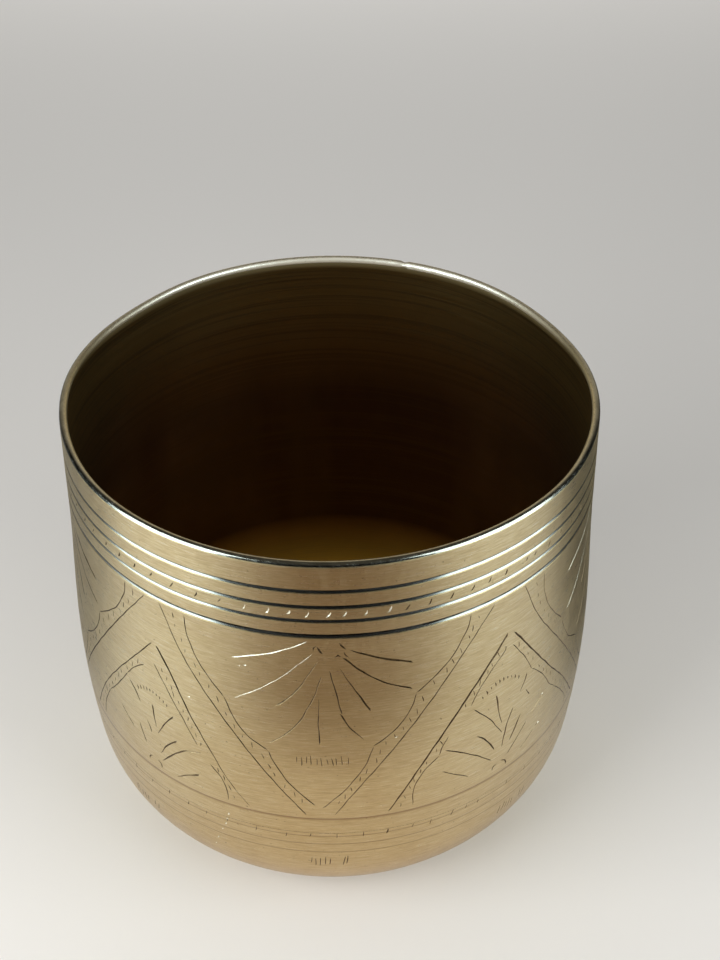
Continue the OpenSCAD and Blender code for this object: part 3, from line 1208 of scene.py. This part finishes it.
def bead_brass():
    """The rolled rim: burnished by hands on top, a lighter yellow inside that is partly a painted
    highlight, and a painted highlight on the inside at the back.
    """
    g = Graph(bpy.data.materials.new("bead brass"))
    # The inside of the roll: lighter yellow and partly diffuse, less handled brass and partly a painted
    # highlight.
    inner = g.ramp(g.down(), -1.9, -2.9)
    back = g.part(g.add("TexCoord").outputs["Object"], "Y")
    # Painted highlight: the inside of the roll at the back of the pot is pale and partly diffuse.
    pale = g.math("MULTIPLY", inner, g.ramp(back, 0.02, 0.065))
    ding = g.noise(g.stretched(0.22, 0.22, 0.4), detail=5)
    scuff = g.noise(g.stretched(0.5, 0.5, 2.0), detail=4, roughness=0.7)
    handled, burnished = (0.45, 0.42, 0.33), (0.64, 0.61, 0.50)
    yellow, rubbed_highlight, grime = (0.78, 0.65, 0.38), (0.94, 0.90, 0.74), (0.25, 0.20, 0.13)
    tone = g.mix(g.ramp(ding, 0.35, 0.6), handled, burnished)
    tone = g.mix(inner, tone, yellow)
    tone = g.mix(pale, tone, rubbed_highlight)
    tone = g.mix(g.ramp(scuff, 0.62, 0.72, 0, 0.6), tone, grime)
    normal = g.bump(ding, 0.12, 0.0001)
    normal = g.bump(scuff, 0.10, 0.00004, normal)
    rough = g.math("ADD", g.ramp(scuff, 0.45, 0.7, 0.15, 0.30), g.ramp(inner, 0, 1, 0, 0.16))
    metal = g.math("SUBTRACT", g.ramp(inner, 0, 1, 1.0, 0.86), g.ramp(pale, 0, 1, 0, 0.36))
    g.set(base_color=tone, metallic=metal, roughness=rough, normal=normal)
    return g.owner


def inside_patina():
    """The inside: rings and streaks in a brown patina, olive near the rim, a rubbed band under the rim
    that is partly a painted highlight, and a painted golden glow at the bottom.
    """
    g = Graph(bpy.data.materials.new("inside patina"))
    down = g.down()
    fine = g.noise(g.stretched(0.02, 0.02, 3.0), detail=4, roughness=0.65)
    cloud = g.noise(g.stretched(0.03, 0.03, 0.05), detail=4)
    streak = g.noise(g.stretched(0.022, 0.022, 0.004), detail=3)
    rings = g.noise(g.stretched(0.008, 0.008, 0.9), detail=3)
    # A rubbed band just under the rim: lighter and partly diffuse, wear and a painted highlight.
    rubbed_highlight = g.ramp(down, 4, 1)
    # Painted glow: the bottom is a saturated gold and fully diffuse.
    bottom = g.ramp(down, 124, 148)
    dark_brown, light_brown, run = (0.12, 0.078, 0.052), (0.16, 0.10, 0.065), (0.085, 0.045, 0.035)
    olive, dark_ring, fine_ring = (0.33, 0.21, 0.07), (0.13, 0.08, 0.04), (0.16, 0.10, 0.04)
    rubbed_highlight_brass, painted_glow_gold = (0.62, 0.54, 0.28), (1.0, 0.60, 0.07)
    brown = g.mix(g.ramp(cloud, 0.35, 0.65), dark_brown, light_brown)
    brown = g.mix(g.ramp(streak, 0.42, 0.58, 0, 0.8), brown, run)
    tone = g.mix(g.ramp(down, 15, 60), olive, brown)
    tone = g.mix(g.ramp(rings, 0.5, 0.62, 0, 0.45), tone, dark_ring)
    tone = g.mix(rubbed_highlight, tone, rubbed_highlight_brass)
    tone = g.mix(bottom, tone, painted_glow_gold)
    tone = g.mix(g.ramp(fine, 0.5, 0.75, 0, 0.3), tone, fine_ring)
    normal = g.bump(fine, 0.3, 0.00005)
    rough = g.ramp(fine, 0.3, 0.7, 0.30, 0.45)
    metal = g.ramp(g.math("ADD", bottom, g.ramp(rubbed_highlight, 0, 1, 0, 0.3)), 0, 1, 0.985, 0.0)
    g.set(base_color=tone, metallic=metal, roughness=rough, normal=normal)
    return g.owner


def wire_steel():
    """Drawn steel wire, dull, with rust where it shows at the seam."""
    g = Graph(bpy.data.materials.new("wire steel"))
    place = g.add("TexCoord").outputs["Object"]
    grain = g.add("TexNoise", {"Vector": place, "Scale": 900.0, "Detail": 3.0}).outputs["Fac"]
    rust = g.add("TexNoise", {"Vector": place, "Scale": 160.0, "Detail": 5.0}).outputs["Fac"]
    share = g.ramp(rust, 0.48, 0.62)
    steel, rust_brown = (0.42, 0.41, 0.39), (0.22, 0.10, 0.05)
    tone = g.mix(share, steel, rust_brown)
    normal = g.bump(grain, 0.3, 0.00005)
    rough = g.ramp(share, 0, 1, 0.38, 0.75)
    metal = g.ramp(share, 0, 1, 1.0, 0.2)
    g.set(base_color=tone, metallic=metal, roughness=rough, normal=normal)
    return g.owner


# ---------------------------------------------------------------- stage
def add_camera():
    """The viewpoint: above the rim and in front of the pot."""
    in_front, above_rim = 0.3652, 0.2566
    look_down, roll, turn_right = 38.72, -0.1, 1.4
    data = bpy.data.cameras.new("camera")
    data.lens = 52.5
    data.sensor_width = 36
    camera = bpy.data.objects.new("camera", data)
    camera.location = (0, -in_front, BEAD_Z * MM + above_rim)
    camera.rotation_euler = Euler(
        (math.radians(90 - look_down), math.radians(roll), math.radians(-turn_right)), "XYZ"
    )
    bpy.context.scene.collection.objects.link(camera)
    bpy.context.scene.camera = camera


def add_area(name, azimuth, distance, height, aim, size, power, colour, seen_by):
    """A soft box `azimuth` degrees round from +X, lighting either the metal or the paper."""
    data = bpy.data.lights.new(name, "AREA")
    data.shape = "RECTANGLE"
    data.size, data.size_y = size
    data.energy = power
    data.color = colour
    light = bpy.data.objects.new(name, data)
    way = math.radians(azimuth)
    light.location = (distance * math.cos(way), distance * math.sin(way), height)
    light.rotation_euler = (Vector(aim) - light.location).to_track_quat("-Z", "Y").to_euler()
    light.visible_camera = False
    light.visible_glossy = seen_by == "metal"
    light.visible_diffuse = seen_by == "paper"
    bpy.context.scene.collection.objects.link(light)


def add_lights():
    """Tall cool soft boxes beside the pot for the metal, and softer light for the paper."""
    pot = (0, 0, 0.10)
    cool, warm = (0.82, 1.0, 1.12), (1, 0.98, 0.96)
    add_area("left box", 207.5, 0.72, 0.40, pot, (0.60, 0.74), 5.2, cool, "metal")
    add_area("right box", -28, 0.72, 0.40, pot, (0.65, 0.74), 5.0, cool, "metal")
    add_area("left paper light", 215, 0.60, 0.40, pot, (0.5, 0.4), 3.9, warm, "paper")
    add_area("right paper light", -35, 0.60, 0.40, pot, (0.5, 0.4), 2.3, warm, "paper")
    add_area("back paper light", 90, 1.3, 0.45, (0, 0.95, 0), (1.5, 0.3), 4.2, warm, "paper")


def add_world():
    """Pale surroundings. The metal sees a dark room with a paler wall behind and ceiling."""
    world = bpy.data.worlds.new("studio")
    g = Graph(world, "Background")
    g.set(color=(0.80, 0.80, 0.78), strength=0.37)
    way = g.add("TexCoord").outputs["Generated"]
    wall_glow = g.ramp(g.part(way, "Y"), 0.55, 0.95, 0.004, 0.4, "SMOOTHSTEP")
    ceiling_glow = g.ramp(g.part(way, "Z"), 0.5, 0.95, 0.0, 0.05, "SMOOTHSTEP")
    glow = g.math("ADD", wall_glow, ceiling_glow)
    room = g.add("Background", {"Color": (1.0, 0.9, 0.7), "Strength": glow})
    glossy = g.add("LightPath").outputs["Is Glossy Ray"]
    either = g.add("MixShader", {0: glossy, 1: g.shader.outputs[0], 2: room.outputs[0]})
    g.put(g.nodes["World Output"].inputs[0], either.outputs[0])
    bpy.context.scene.world = world


def floor_paper():
    """Pale paper. The metal sees painted light and shade on it: dimmer near the pot, cool at
    the sides, a painted brown shadow in front of the pot, and painted dark shade behind the pot's
    sides."""
    g = Graph(bpy.data.materials.new("pale floor"))
    place = g.add("NewGeometry").outputs["Position"]
    x, y = g.part(place, "X"), g.part(place, "Y")
    away = g.math("ABSOLUTE", x)
    # For reflections only: a painted shadow in front of the pot and painted dark shade behind its
    # sides.
    painted_front_shadow = g.math("MULTIPLY", g.ramp(y, -0.155, -0.225), g.ramp(away, 0.27, 0.12))
    painted_side_shade = g.math("MULTIPLY", g.ramp(y, -0.05, 0.03), g.ramp(away, 0.10, 0.14))
    painted_side_shade = g.math("MULTIPLY", painted_side_shade, g.ramp(x, -0.1, 0.1, 0.75, 1))
    near, cool_side = (0.61, 0.54, 0.50), (0.70, 0.73, 0.81)
    brown, dark, pale = (0.15, 0.09, 0.055), (0.06, 0.055, 0.05), (0.80, 0.79, 0.77)
    seen = g.mix(g.ramp(away, 0.03, 0.16), near, cool_side)
    seen = g.mix(painted_front_shadow, seen, brown)
    seen = g.mix(painted_side_shade, seen, dark)
    glossy = g.add("LightPath").outputs["Is Glossy Ray"]
    g.set(base_color=g.mix(glossy, pale, seen), roughness=0.75)
    return g.owner


def add_floor():
    """A wide flat floor under the pot."""
    reach = 4.0
    corners = [(-reach, -reach, 0), (reach, -reach, 0), (reach, reach, 0), (-reach, reach, 0)]
    mesh = bpy.data.meshes.new("floor")
    mesh.from_pydata(corners, [], [(0, 1, 2, 3)])
    mesh.materials.append(floor_paper())
    floor = bpy.data.objects.new("floor", mesh)
    bpy.context.scene.collection.objects.link(floor)


add_camera()
add_world()
add_lights()
add_floor()
bpy.context.scene.view_settings.view_transform = "Standard"

looks = [satin_brass(), cut_brass(), painted_glint_brass(), turned_brass(), bead_brass(), inside_patina()]
vessel = mesh_object("engraved_vessel", build_vessel(), looks)
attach(vessel, "root")
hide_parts("vessel_body")

wire = mesh_object("drawn_rim_wire", build_wire(), [wire_steel()])
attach(wire, "root")
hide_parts("rim_wire")
